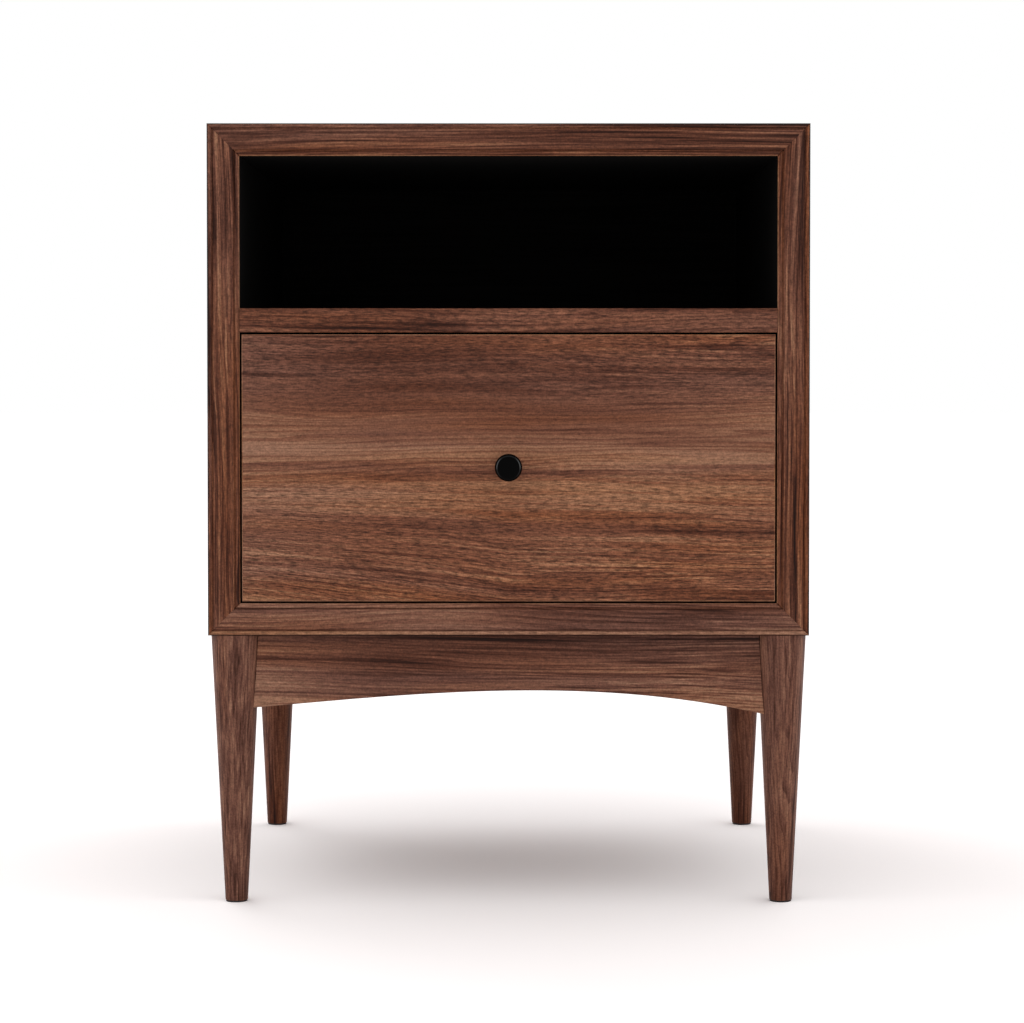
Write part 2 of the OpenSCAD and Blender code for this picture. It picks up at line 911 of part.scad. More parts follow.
// A base disc, a straight neck with a cove under the head, and a head with a
// round rim over a small lower rounding.
module knob_outline() {
    base_h = 2;
    cove_r = 3.5;
    rim_r = 3.5;
    edge_r = 1.5;
    head_z = knob_reach - knob_head_h;
    square([knob_base_r, base_h]);
    square([knob_neck_r, head_z]);
    difference() {
        translate([knob_neck_r, head_z - cove_r]) square([cove_r, cove_r]);
        translate([knob_neck_r + cove_r, head_z - cove_r]) circle(cove_r);
    }
    translate([0, head_z]) square([knob_r - rim_r, knob_head_h]);
    translate([0, head_z]) square([knob_r - edge_r, edge_r]);
    translate([0, head_z + edge_r]) square([knob_r, knob_head_h - edge_r - rim_r]);
    translate([knob_r - rim_r, knob_reach - rim_r]) circle(rim_r);
    translate([knob_r - edge_r, head_z + edge_r]) circle(edge_r);
}

module knob() {
    color(black) difference() {
        on_front() rotate_extrude() knob_outline();
        knob_screw();
    }
}

module knob_screw() {
    grip = front_t + box_t;
    head_r = 4.5;
    color(zinc) on_front() {
        translate([0, 0, -grip]) cylinder(h = grip + knob_thread_l, r = knob_screw_r);
        translate([0, 0, -grip - head_h]) cylinder(h = head_h, r = head_r);
    }
}

// The clearance hole for it through the drawer front and the box's front.
module knob_screw_hole() {
    on_front() translate([0, 0, -front_t - box_t - past])
        cylinder(h = front_t + box_t + 2 * past, r = knob_screw_r + hole_play);
}

// ---------------------------------------------------------------- nodes

top_panel();
bottom_panel();
side_panel_left();
side_panel_right();
mitre_splines();
face_frame_top();
face_frame_bottom();
face_frame_left();
face_frame_right();
divider_panel();
divider_lipping();
back_panel();
back_screws();
leg_front_left();
leg_front_right();
leg_rear_left();
leg_rear_right();
apron_front();
rail_rear();
rail_left();
rail_right();
rail_dowels();
corner_blocks();
corner_block_screws();
base_screws();
hanger_bolts();
hanger_washers();
hanger_nuts();
foot_glides();
slide_cabinet_left();
slide_cabinet_right();
slide_bumpers();
slide_cabinet_screws();
slide_middle_left();
slide_middle_right();
outer_retainer_left();
outer_retainer_right();
outer_balls_left();
outer_balls_right();
inner_retainer_left();
inner_retainer_right();
inner_balls_left();
inner_balls_right();
slide_drawer_left();
slide_drawer_right();
slide_drawer_screws();
drawer_front();
drawer_box_front();
drawer_box_back();
drawer_side_left();
drawer_side_right();
drawer_bottom();
drawer_front_screws();
knob();
knob_screw();
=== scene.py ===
"""The nightstand's finish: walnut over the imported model, its studio and its camera."""
import math

import bmesh
import bpy
import mathutils
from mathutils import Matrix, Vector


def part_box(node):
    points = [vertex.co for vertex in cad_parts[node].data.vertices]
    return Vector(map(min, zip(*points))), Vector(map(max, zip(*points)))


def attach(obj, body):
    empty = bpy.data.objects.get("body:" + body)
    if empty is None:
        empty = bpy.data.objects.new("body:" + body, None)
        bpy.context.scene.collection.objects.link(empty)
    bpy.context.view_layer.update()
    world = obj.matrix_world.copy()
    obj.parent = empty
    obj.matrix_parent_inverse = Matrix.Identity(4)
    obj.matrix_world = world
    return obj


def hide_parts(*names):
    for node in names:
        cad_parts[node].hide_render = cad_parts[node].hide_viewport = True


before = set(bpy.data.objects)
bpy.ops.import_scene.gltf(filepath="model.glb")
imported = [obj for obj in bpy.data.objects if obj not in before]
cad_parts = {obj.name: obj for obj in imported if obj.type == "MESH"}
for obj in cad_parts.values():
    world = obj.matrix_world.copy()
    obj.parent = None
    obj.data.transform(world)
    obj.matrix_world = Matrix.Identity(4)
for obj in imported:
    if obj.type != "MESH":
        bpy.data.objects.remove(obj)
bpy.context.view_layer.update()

# ---------------------------------------------------------------- case boards
# The top, the bottom and the two sides are boards faced with walnut veneer and mitred
# together. Their inner faces are stained black, and the veneer runs across the top and
# the bottom and upright on the sides.


def seen(red, green, blue):
    """A colour as it is seen, from 0 to 255, as the linear values that a shader takes."""
    shares = (value / 255 for value in (red, green, blue))
    return tuple(s / 12.92 if s < 0.04 else ((s + 0.055) / 1.055) ** 2.4 for s in shares) + (1,)


def add(tree, kind, sockets=None, **settings):
    """A node with its settings, its sockets set to the values given or linked to them."""
    node = tree.nodes.new("ShaderNode" + kind)
    for name, value in settings.items():
        setattr(node, name, value)
    for name, value in (sockets or {}).items():
        if isinstance(value, bpy.types.NodeSocket):
            tree.links.new(value, node.inputs[name])
        else:
            node.inputs[name].default_value = value
    return node


def between(tree, value, low, high, to_low, to_high):
    """The value's range from low to high, drawn onto another range and held there."""
    ends = {"Value": value, "From Min": low, "From Max": high, "To Min": to_low, "To Max": to_high}
    return add(tree, "MapRange", ends).outputs["Result"]


def sums(tree, kind, first, second):
    """A sum in arithmetic of the kind named, such as MULTIPLY."""
    return add(tree, "Math", {0: first, 1: second}, operation=kind).outputs[0]


def scaled(tree, value, factor, rest):
    """The value times the factor, added to the rest."""
    terms = {0: value, 1: factor, 2: rest}
    return add(tree, "Math", terms, operation="MULTIPLY_ADD").outputs[0]


def vectors(tree, kind, first, second):
    """A sum in vectors of the kind named."""
    return add(tree, "VectorMath", {0: first, 1: second}, operation=kind).outputs[0]


def ramp_of(tree, value, stops):
    """The colours that the value runs through, each with its place on the way."""
    ramp = add(tree, "ValToRGB", {"Fac": value})
    marks = ramp.color_ramp.elements
    for _ in range(len(stops) - len(marks)):
        marks.new(1.0)
    for mark, (place, colour) in zip(marks, stops):
        mark.position = place
        mark.color = colour
    return ramp.outputs["Color"]


def tones_of(tree, value, colours):
    """The ramp of colours given as they are seen."""
    return ramp_of(tree, value, [(place, seen(*colour)) for place, colour in colours])


def layer(tree, place, lengthwise, across, detail=2.0, rough=0.5):
    """Noise drawn out along the grain: how many spots a metre holds each way."""
    drawn = vectors(tree, "MULTIPLY", place, (lengthwise, across, across))
    spots = {"Vector": drawn, "Scale": 1.0, "Detail": detail, "Roughness": rough}
    return add(tree, "TexNoise", spots).outputs["Fac"]


def shaded(tree, colour, shade):
    """The colour made darker or paler by the shade."""
    return add(tree, "VectorMath", {0: colour, "Scale": shade}, operation="SCALE").outputs[0]


def surface(name, roughness=0.5, specular=0.5):
    """A new material with its tree and its shader."""
    material = bpy.data.materials.new(name)
    material.use_nodes = True
    shader = material.node_tree.nodes["Principled BSDF"]
    shader.inputs["Roughness"].default_value = roughness
    shader.inputs["Specular IOR Level"].default_value = specular
    return material, material.node_tree, shader


def dented(tree, shader, height, strength, depth):
    """Bumps that the height makes in the surface, the depth in metres."""
    dents = add(tree, "Bump", {"Height": height, "Strength": strength, "Distance": depth})
    tree.links.new(dents.outputs["Normal"], shader.inputs["Normal"])


# The turn that lays the grain along X for wood that runs along each axis.
GRAIN_TURN = {"X": (0, 0, 0), "Y": (0, 0, -math.pi / 2), "Z": (0, math.pi / 2, 0)}
# How often the grain drifts in a metre, lengthwise and across, and how far, in metres.
DRIFTS = (1.7, 6, 6)
WANDER = 0.035
# The mean width of a year's growth, in metres.
RING_PITCH = 0.0035
# Walnut from its dark streaks to its pale ones: a redder cut and a greyer one.
RED_CUT = [
    (0.12, (14, 4, 1)),
    (0.30, (38, 12, 3)),
    (0.42, (75, 36, 19)),
    (0.50, (99, 55, 34)),
    (0.58, (120, 70, 44)),
    (0.70, (148, 101, 69)),
]
GREY_CUT = [
    (0.12, (16, 6, 3)),
    (0.30, (44, 18, 8)),
    (0.42, (80, 48, 37)),
    (0.50, (100, 64, 52)),
    (0.58, (118, 79, 63)),
    (0.70, (145, 105, 84)),
]


def grain(tree, along, start):
    """Places in a piece of wood with X lengthwise and the grain wandering a little: as
    they lie in the piece, and as they lay in the log that it was cut from."""
    place = add(tree, "TexCoord").outputs["Object"]
    turning = {"Vector": place, "Rotation": GRAIN_TURN[along]}
    turned = add(tree, "Mapping", turning).outputs["Vector"]
    slow = vectors(tree, "MULTIPLY", vectors(tree, "ADD", turned, start), DRIFTS)
    drift = add(tree, "TexNoise", {"Vector": slow, "Scale": 1.0, "Detail": 2.0}).outputs["Color"]
    centred = vectors(tree, "SUBTRACT", drift, (0.5, 0.5, 0.5))
    wandering = {0: centred, 1: (0, WANDER, WANDER), 2: turned}
    lying = add(tree, "VectorMath", wandering, operation="MULTIPLY_ADD").outputs[0]
    return lying, vectors(tree, "ADD", lying, start)


def weighed(tree, value, weight, rest):
    """The value's distance from its middle, weighed and added to the rest."""
    return scaled(tree, sums(tree, "SUBTRACT", value, 0.5), weight, rest)


def rings(tree, place):
    """Growth rings, cut askew so that they show on every face: 0 at the start of each
    year and 1 in its late wood. They lie closer and wider by turns."""
    askew = {0: place, 1: (0, 0.6 / RING_PITCH, 0.8 / RING_PITCH)}
    years = add(tree, "VectorMath", askew, operation="DOT_PRODUCT").outputs["Value"]
    years = weighed(tree, layer(tree, place, 1.5, 22.0, detail=3.0), 14.0, years)
    years = weighed(tree, layer(tree, place, 5.0, 120.0), 1.2, years)
    return add(tree, "Math", {0: years}, operation="FRACT").outputs[0]


def level_tones(tree, height, tones):
    """The tones that the height runs through, each with its place on the way."""
    return ramp_of(tree, height, [(place, (tone, tone, tone, 1)) for place, tone in tones])


def swept(tree, lying, node, fall):
    """Places in a node whose grain falls away towards its lower left corner."""
    low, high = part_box(node)
    split = add(tree, "SeparateXYZ", {0: lying}).outputs
    leftward = between(tree, split[0], low.x, (low.x + high.x) / 2, fall, 0.0)
    lower = between(tree, split[2], low.z, (low.z + high.z) / 2, 1.0, 0.0)
    drop = add(tree, "CombineXYZ", {2: sums(tree, "MULTIPLY", leftward, lower)}).outputs[0]
    return vectors(tree, "SUBTRACT", lying, drop)


def laid(tree, lying, along, node, columns):
    """Tones laid over a node: columns at even steps along its grain, each one tone or a
    list of tones with their places across it, from below or from the right."""
    low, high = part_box(node)
    if along == "Z":
        ends, edges = (low.z, high.z), (-high.x, -low.x)
    else:
        ends, edges = (low.x, high.x), (low.z, high.z)
    split = add(tree, "SeparateXYZ", {0: lying}).outputs
    height = between(tree, split[2], edges[0], edges[1], 0.0, 1.0)
    tones = None
    step = (ends[1] - ends[0]) / (len(columns) - 1)
    for count, column in enumerate(columns):
        here = column if isinstance(column, float) else level_tones(tree, height, column)
        before = ends[0] + (count - 1) * step
        share = between(tree, split[0], before, before + step, 0.0, 1.0)
        tones = here if tones is None else add(tree, "Mix", {0: share, 2: tones, 3: here}).outputs[0]
    return tones


def open_grain(tree, lying, node, shares):
    """How open a node's grain is, from its lower edge to its upper one."""
    low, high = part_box(node)
    upward = add(tree, "SeparateXYZ", {0: lying}).outputs[2]
    return level_tones(tree, between(tree, upward, low.z, high.z, 0.0, 1.0), shares)


def walnut(name, along, start, tone=0.5, node=None, warm=0.45, broad=0.3, figured=1.0, fall=0.0,
           pored=1.0, opened=None):
    """Oiled walnut: broad bands, streaks, growth rings, dark flames and short pores, its
    hue drifting between a greyer brown and a redder one, at 1. The tone and the warmth are
    one for the whole piece, or columns of them laid over the node. The lines and pores are
    fainter where the node is less opened, as told up its height."""
    material, tree, shader = surface(name, specular=0.12)
    lying, place = grain(tree, along, start)
    depth = tone if isinstance(tone, float) else laid(tree, lying, along, node, tone)
    warmth = warm if isinstance(warm, float) else laid(tree, lying, along, node, warm)
    if fall:
        place = vectors(tree, "ADD", swept(tree, lying, node, fall), start)
    # The broad bands and the streaks. What the dark marks below take away is added here.
    dark_marks = 0.03
    bands = layer(tree, place, 1.2, 18.0)
    streaks = layer(tree, place, 1.3, 90.0, detail=3.0, rough=0.6)
    threads = layer(tree, place, 2.2, 210.0)
    depth = weighed(tree, bands, broad, sums(tree, "ADD", depth, dark_marks))
    depth = weighed(tree, streaks, 0.25 * figured, depth)
    depth = weighed(tree, threads, 0.2 * figured, depth)
    # The late wood of each year and, here and there, a dark flame.
    late = between(tree, rings(tree, place), 0.5, 0.98, 0.0, 1.0)
    ringed = between(tree, layer(tree, place, 2.0, 20.0), 0.42, 0.6, 0.02, 0.12)
    depth = sums(tree, "SUBTRACT", depth, sums(tree, "MULTIPLY", late, ringed))
    flame = between(tree, layer(tree, place, 3.0, 110.0), 0.44, 0.26, 0.0, 0.16)
    depth = sums(tree, "SUBTRACT", depth, flame)
    # Fine lines, stronger in some stretches than in others.
    line = layer(tree, place, 5.0, 560.0, rough=0.6)
    strength = (1.3 - 0.3 * pored) * figured
    stretches = layer(tree, place, 2.2, 12.0)
    drawn = between(tree, stretches, 0.40, 0.60, 0.3 * strength, 0.9 * strength)
    openness = pored * figured
    if opened:
        share = open_grain(tree, lying, node, opened)
        drawn = sums(tree, "MULTIPLY", drawn, share)
        openness = sums(tree, "MULTIPLY", share, openness)
    depth = weighed(tree, line, drawn, depth)
    drift = between(tree, layer(tree, place, 2.5, 30.0), 0.35, 0.65, -0.4, 0.4)
    hue = sums(tree, "ADD", drift, warmth)
    cuts = {0: hue, 6: tones_of(tree, depth, GREY_CUT), 7: tones_of(tree, depth, RED_CUT)}
    colour = add(tree, "Mix", cuts, data_type="RGBA").outputs[2]
    # Short dark pores with pale wood between them, and a mottle finer than the grain.
    pore = layer(tree, place, 140.0, 900.0, rough=0.6)
    mottle = layer(tree, lying, 600.0, 600.0, rough=0.7)
    pores = scaled(tree, between(tree, pore, 0.32, 0.66, -0.5, 0.42), openness, 1.0)
    shade = sums(tree, "MULTIPLY", pores, between(tree, mottle, 0.30, 0.70, 0.74, 1.27))
    tree.links.new(shaded(tree, colour, shade), shader.inputs["Base Color"])
    tree.links.new(between(tree, line, 0.3, 0.7, 0.56, 0.44), shader.inputs["Roughness"])
    dented(tree, shader, pore, 0.2, 0.0002)
    return material


def black_stain(name):
    """A flat black stain, a little uneven where the board's grain drinks it."""
    material, tree, shader = surface(name, roughness=0.85, specular=0.08)
    place = grain(tree, "X", (0, 0, 0))[1]
    soaked = layer(tree, place, 8.0, 260.0, detail=3.0)
    blacks = tones_of(tree, soaked, [(0.35, (7, 6, 6)), (0.7, (17, 15, 14))])
    tree.links.new(blacks, shader.inputs["Base Color"])
    return material


# Vertices this near, in metres, are one, and faces with this small a turn are one.
SAME_PLACE = 1e-6
SAME_PLANE = math.radians(0.5)
# An edge with a smaller turn than this is shaded smooth.
SMOOTH_TURN = math.radians(15)


def piece_of(node):
    """The node's solid as a bmesh, its loose triangles joined and its flat faces whole."""
    bm = bmesh.new()
    bm.from_mesh(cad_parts[node].data)
    bmesh.ops.remove_doubles(bm, verts=bm.verts, dist=SAME_PLACE)
    bmesh.ops.dissolve_limit(bm, angle_limit=SAME_PLANE, verts=bm.verts, edges=bm.edges)
    return bm


def bevelled(bm, edges, width, segments):
    """Bevels the edges and gives the new faces."""
    return bmesh.ops.bevel(bm, geom=edges, offset=width, affect="EDGES", segments=segments,
                           profile=0.5, material=-1)["faces"]


def put(bm, name, node, body, slot, *materials):
    """Makes the bmesh a piece that stands for the node and rides on its body."""
    for edge in bm.edges:
        edge.smooth = edge.is_manifold and edge.calc_face_angle() < SMOOTH_TURN
    for face in bm.faces:
        face.smooth = True
    mesh = bpy.data.meshes.new(name)
    bm.to_mesh(mesh)
    bm.free()
    if "custom_normal" in mesh.attributes:
        mesh.attributes.remove(mesh.attributes["custom_normal"])
    piece = bpy.data.objects.new(name, mesh)
    bpy.context.scene.collection.objects.link(piece)
    for material in materials:
        mesh.materials.append(material)
    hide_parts(node)
    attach(piece, body)


inner_black = black_stain("inner_black")
case_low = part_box("bottom_panel")[0]
case_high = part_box("top_panel")[1]
case_middle = (case_low + case_high) / 2
side_low, side_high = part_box("side_panel_left")
board_t = side_high.x - side_low.x
boards = {
    "top_panel": ("X", (0.31, 0.17, 0.05)),
    "bottom_panel": ("X", (0.72, 0.11, 0.36)),
    "side_panel_left": ("Z", (0.15, 0.42, 0.27)),
    "side_panel_right": ("Z", (0.58, 0.77, 0.41)),
}
for node, (along, start) in boards.items():
    veneer = walnut(node + "_veneer", along, start, broad=0.15, figured=0.75)
    bm = piece_of(node)
    upright = "side" in node
    for face in bm.faces:
        # Only an inner face looks back towards the middle of the case.
        middle = face.calc_center_median() - case_middle
        inward = -face.normal.x * middle.x if upright else -face.normal.z * middle.z
        face.material_index = 1 if inward > 0.1 * board_t else 0
    put(bm, node + "_veneered", node, "case", "walnut_veneer", veneer, inner_black)

# ---------------------------------------------------------------- mitre splines
# A birch spline lies in a groove across each mitre of the case. It is glued in before
# the case is closed, and keeps the corners from slipping.


def birch(name, along, start):
    """Pale birch under a clear finish, with faint growth lines and small dark flecks."""
    material, tree, shader = surface(name, roughness=0.5, specular=0.3)
    straight, place = grain(tree, along, start)
    line = layer(tree, place, 2.5, 240.0, detail=4.0, rough=0.6)
    fleck = layer(tree, straight, 60.0, 900.0, detail=1.0)
    cream = [(0.3, (203, 172, 131)), (0.5, (215, 186, 146)), (0.7, (224, 198, 161))]
    colour = shaded(tree, tones_of(tree, line, cream), between(tree, fleck, 0.62, 0.72, 1.0, 0.86))
    tree.links.new(colour, shader.inputs["Base Color"])
    return material


def finish_nodes(material, *nodes):
    """Gives CAD nodes that are shown as they are their material."""
    for node in nodes:
        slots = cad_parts[node].data.materials
        for place in range(len(slots)):
            slots[place] = material


birch_across = birch("birch_across", "X", (0.2, 0.1, 0.3))
birch_deep = birch("birch_deep", "Y", (0.6, 0.4, 0.1))
finish_nodes(birch_deep, "mitre_splines")

# ---------------------------------------------------------------- face frame
# Four moulded walnut strips are glued over the front edges of the boards and mitred at
# the corners. Each is cut from its own length, with a paler or redder bead left outside
# its groove, and its arrises are just broken, the outer ones a little more. The outer
# arris is painted dark, as painted shade, and the inner one pale, as a painted highlight.
# The faces that look into the case are black; along the drawer gap that is painted shade.
ARRIS = 0.0007
OUTER_ARRIS = 0.001
BEAD_W = 0.004
GROOVE_W = 0.0008
# A place this near to an edge or a groove is on it.
NEAR = 0.0001
# The edges of the mitres stay sharp. They alone have lengths between these.
MITRE_LENGTHS = (0.01, 0.06)
# The finishes of a strip: its flat, the bead outside its groove, its outer arris in painted
# shade, its inner one in a painted highlight, its groove and what faces into the case.
WOOD, BEAD, EDGE_SHADE, EDGE_HIGHLIGHT, GATHERED, BLACK = range(6)


def moulding(inner, flat, outwards=None):
    """Tones across a strip, seen from its inner bead: the bead and then the flat, which
    may take another tone outwards."""
    return [(0.0, inner), (0.14, inner), (0.16, flat), (0.75, outwards or flat)]


def turned_over(tones):
    """The same tones, seen from the other edge."""
    return [(1 - place, tone) for place, tone in reversed(tones)]


def inset_of(place):
    """How far a place on a strip lies inside the case's outline."""
    beside = min(place.x - case_low.x, case_high.x - place.x)
    return min(beside, place.z - case_low.z, case_high.z - place.z)


def arrises(bm, glued, outer):
    """The proud edges in front of the glued face: those on the case's outline, or those
    inside it, without the edges that the cutting of the outer ones has left."""
    found = []
    for edge in bm.edges:
        insets = [inset_of(vert.co) for vert in edge.verts]
        if outer:
            wanted = max(insets) < ARRIS
        else:
            wanted = max(insets) > 1.1 * OUTER_ARRIS and min(insets) > 0.9 * OUTER_ARRIS
        mitred = MITRE_LENGTHS[0] < edge.calc_length() < MITRE_LENGTHS[1]
        proud = edge.calc_face_angle(0) > math.radians(5)
        if wanted and proud and not mitred and max(vert.co.y for vert in edge.verts) < glued:
            found.append(edge)
    return found


def finish_of(face, glued):
    """Which of a strip's finishes the face wears."""
    middle = face.calc_center_median()
    inset = inset_of(middle)
    from_edge = min(inset, board_t - inset)
    eased = -0.9 < face.normal.y < -0.5
    # Black where the face looks into the case; along the drawer gap this is painted shade.
    if inset > board_t - NEAR:
        return BLACK
    if BEAD_W - NEAR < from_edge < BEAD_W + GROOVE_W + NEAR and middle.y < glued:
        return GATHERED
    # The inner arris takes a painted highlight and the outer one painted shade.
    if eased and inset > board_t - ARRIS:
        return EDGE_HIGHLIGHT
    if eased and inset < OUTER_ARRIS:
        return EDGE_SHADE
    return BEAD if inset < BEAD_W + GROOVE_W / 2 else WOOD


# Each strip's grain and start, its warmth and figure, and its tones in columns. Then the
# tones and the warmth of the bead outside the groove.
strips = {
    "face_frame_top": (
        "X", (0.12, 0.33, 0.02), 0.35, 0.75,
        [moulding(0.485, 0.48, 0.42), moulding(0.44, 0.56, 0.46), moulding(0.45, 0.57, 0.47),
         moulding(0.47, 0.43, 0.40), moulding(0.35, 0.46, 0.47), moulding(0.46, 0.44, 0.44)],
        [0.48, 0.51, 0.50, 0.44, 0.37, 0.37], 0.35,
    ),
    "face_frame_bottom": (
        "X", (0.44, 0.21, 0.61), 0.15, 0.75,
        [turned_over(moulding(*tones)) for tones in
         [(0.45, 0.61, 0.55), (0.44, 0.66, 0.58), (0.49, 0.59, 0.62), (0.49, 0.44, 0.48),
          (0.49, 0.33, 0.49), (0.45, 0.51, 0.58)]],
        # Along the bottom the bead is painted pale: painted light, as thrown up by the floor.
        [0.75, 0.76, 0.76, 0.69, 0.66, 0.70], 0.35,
    ),
    "face_frame_left": (
        "Z", (0.91, 0.13, 0.77), [0.3, 0.75, 0.75, 0.75, 0.7, 0.6], 1.0,
        [moulding(0.49, 0.50, 0.56), moulding(0.46, 0.50), moulding(0.41, 0.49, 0.42),
         moulding(0.51, 0.53), moulding(0.51, 0.50, 0.36), moulding(0.46, 0.63, 0.40)],
        [0.58, 0.53, 0.44, 0.34, 0.43, 0.505], [0.9, 0.7, 0.5, 0.5, 0.4, 0.4],
    ),
    "face_frame_right": (
        "Z", (0.37, 0.52, 0.18), [0.35, 0.7, 0.7, 0.65, 0.65, 0.5], 0.9,
        [turned_over(moulding(*tones)) for tones in
         [(0.45, 0.48, 0.54), (0.37, 0.47, 0.53), (0.35, 0.48, 0.46), (0.48, 0.55, 0.54),
          (0.42, 0.43, 0.43), (0.43, 0.50, 0.45)]],
        [0.47, 0.54, 0.54, 0.57, 0.51, 0.59], 1.2,
    ),
}
for node, (along, start, warm, figured, tones, bead_tones, bead_warm) in strips.items():
    # The outer arris is painted dark, as painted shade, and least along the bottom.
    dark = 0.26 if node == "face_frame_bottom" else 0.12
    finishes = [
        walnut(node + "_wood", along, start, tones, node, warm, broad=0.06, figured=figured,
               pored=0.7),
        walnut(node + "_bead", along, start, bead_tones, node, bead_warm, broad=0.1, figured=0.8),
        walnut(node + "_arris", along, start, dark, node, bead_warm, broad=0.1, figured=0.5),
        walnut(node + "_edge_highlight", along, start, 0.66, node, warm, broad=0.1, figured=0.5),
        walnut(node + "_groove", along, start, 0.49, node, warm, broad=0.1, figured=0.5),
        inner_black,
    ]
    bm = piece_of(node)
    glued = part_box(node)[1].y - ARRIS
    for width, outer in ((OUTER_ARRIS, True), (ARRIS, False)):
        bevelled(bm, arrises(bm, glued, outer), width, segments=1)
    for face in bm.faces:
        face.material_index = finish_of(face, glued)
    put(bm, node + "_strip", node, "case", "walnut_solid", *finishes)

# ---------------------------------------------------------------- divider
# A black board in dados parts the niche from the drawer. It has a walnut lipping, whose
# upper and lower faces are stained black with it.
finish_nodes(inner_black, "divider_panel")
lipping_tones = [0.49, 0.48, 0.48, 0.53, 0.515, 0.49]
lipping_wood = walnut("lipping_wood", "X", (0.66, 0.05, 0.29), lipping_tones, "divider_lipping", 0.35,
                      broad=0.06, figured=0.75, pored=1.5)
bm = piece_of("divider_lipping")
for face in bm.faces:
    face.material_index = 1 if abs(face.normal.z) > 0.9 else 0
put(bm, "divider_lipping_strip", "divider_lipping", "case", "walnut_solid", lipping_wood, inner_black)

# ---------------------------------------------------------------- back panel
# The black back lies in a rabbet and is screwed on, so that it squares the case. Its
# screws, like all the others, are zinc plated and have a cross in the head.
CROSS_REACH = 0.0021
CROSS_W = 0.001
CROSS_DEPTH = 0.0011
# How much narrower the cross is at its bottom.
CROSS_TAPER = 0.6
# How far each screw is turned from the one before it, in radians.
SCREW_TURN = 0.9
# Rounding of the rim of a raised head.
HEAD_RIM = 0.0006


def plated(name, colour, roughness):
    """Plated or rolled steel, a little uneven in colour and polish."""
    material, tree, shader = surface(name, roughness=roughness)
    shader.inputs["Metallic"].default_value = 1.0
    cloud = layer(tree, add(tree, "TexCoord").outputs["Object"], 350.0, 350.0)
    dull = tuple(value * 0.95 for value in colour)
    greys = tones_of(tree, cloud, [(0.35, dull), (0.65, colour)])
    uneven = between(tree, cloud, 0.3, 0.7, roughness * 0.9, roughness * 1.1)
    tree.links.new(greys, shader.inputs["Base Color"])
    tree.links.new(uneven, shader.inputs["Roughness"])
    return material


def heads_of(bm):
    """The flat tops of a node's screws, which are its largest faces."""
    largest = max(face.calc_area() for face in bm.faces)
    return [face for face in bm.faces if face.calc_area() > 0.9 * largest]


def sink_cross(bm, head, turn):
    """Sinks a driver's cross into a screw's head, turned by that much."""
    middle, out = head.calc_center_median(), head.normal.copy()
    along = mathutils.Matrix.Rotation(turn, 3, out) @ out.orthogonal().normalized()
    across = out.cross(along)
    parts = [head, *head.edges, *head.verts]
    for way in (along, across):
        for step in (-CROSS_REACH, -CROSS_W / 2, CROSS_W / 2, CROSS_REACH):
            parts = bmesh.ops.bisect_plane(bm, geom=parts, dist=SAME_PLACE,
                                           plane_co=middle + step * way, plane_no=way)["geom"]
    arms = []
    for part in parts:
        if isinstance(part, bmesh.types.BMFace):
            away = part.calc_center_median() - middle
            shorter, longer = sorted((abs(away.dot(along)), abs(away.dot(across))))
            if shorter < CROSS_W / 2 and longer < CROSS_REACH:
                arms.append(part)
    sunk = bmesh.ops.extrude_face_region(bm, geom=arms)["geom"]
    bmesh.ops.delete(bm, geom=arms, context="FACES")
    bottom_verts = [part for part in sunk if isinstance(part, bmesh.types.BMVert)]
    inwards = -CROSS_DEPTH * out
    bmesh.ops.translate(bm, verts=bottom_verts, vec=inwards)
    bmesh.ops.scale(bm, verts=bottom_verts, vec=(CROSS_TAPER, CROSS_TAPER, CROSS_TAPER),
                    space=mathutils.Matrix.Translation(-middle - inwards))
    # The cross's walls and floor take the darker zinc: painted shade in the recess.
    for vert in bottom_verts:
        for face in vert.link_faces:
            face.material_index = 1


def put_screws(node, body, rim=0.0):
    """The node's screws with a cross in each head, the rims of raised heads rounded."""
    bm = piece_of(node)
    if rim:
        bevelled(bm, [edge for head in heads_of(bm) for edge in head.edges], rim, segments=2)
    for count, head in enumerate(heads_of(bm)):
        sink_cross(bm, head, turn=SCREW_TURN * count)
    put(bm, node + "_crossed", node, body, "zinc", zinc, zinc_shaded)


zinc = plated("zinc", (184, 184, 177), 0.32)
# A darker zinc for the sunk crosses: painted shade.
zinc_shaded = plated("zinc_shaded", (48, 47, 44), 0.5)
finish_nodes(inner_black, "back_panel")
put_screws("back_screws", "case")

# ---------------------------------------------------------------- legs
# Four round legs, turned from solid walnut and tapered to the foot. A hanger bolt draws
# each into its corner of the base.
# Each leg's start, and its tones and its warmth from the foot up to the case.
legs = {
    "leg_front_left": (
        (0.21, 0.64, 0.33), [0.45, 0.48, 0.53, 0.49, 0.50, 0.50], [0.3, 0.1, 0.0, -0.1, -0.15, -0.2],
    ),
    "leg_front_right": (
        (0.83, 0.27, 0.58), [0.455, 0.50, 0.54, 0.49, 0.50, 0.54],
        [0.1, 0.0, -0.3, -0.25, -0.2, -0.15],
    ),
    # The rear legs are painted warmer: painted bounce light, redder in the shade under the case.
    "leg_rear_left": (
        (0.46, 0.09, 0.92), [0.455, 0.50, 0.48, 0.50, 0.49, 0.51], [0.9, 0.6, 0.5, 0.6, 0.6, 0.6],
    ),
    "leg_rear_right": (
        (0.05, 0.71, 0.14), [0.45, 0.475, 0.47, 0.48, 0.47, 0.49], [1.2, 0.7, 0.6, 0.6, 0.6, 0.6],
    ),
}
for node, (start, tones, warm) in legs.items():
    wood = walnut(node + "_wood", "Z", start, tones, node, warm, broad=0.1, figured=0.7, pored=0.5)
    finish_nodes(wood, node)

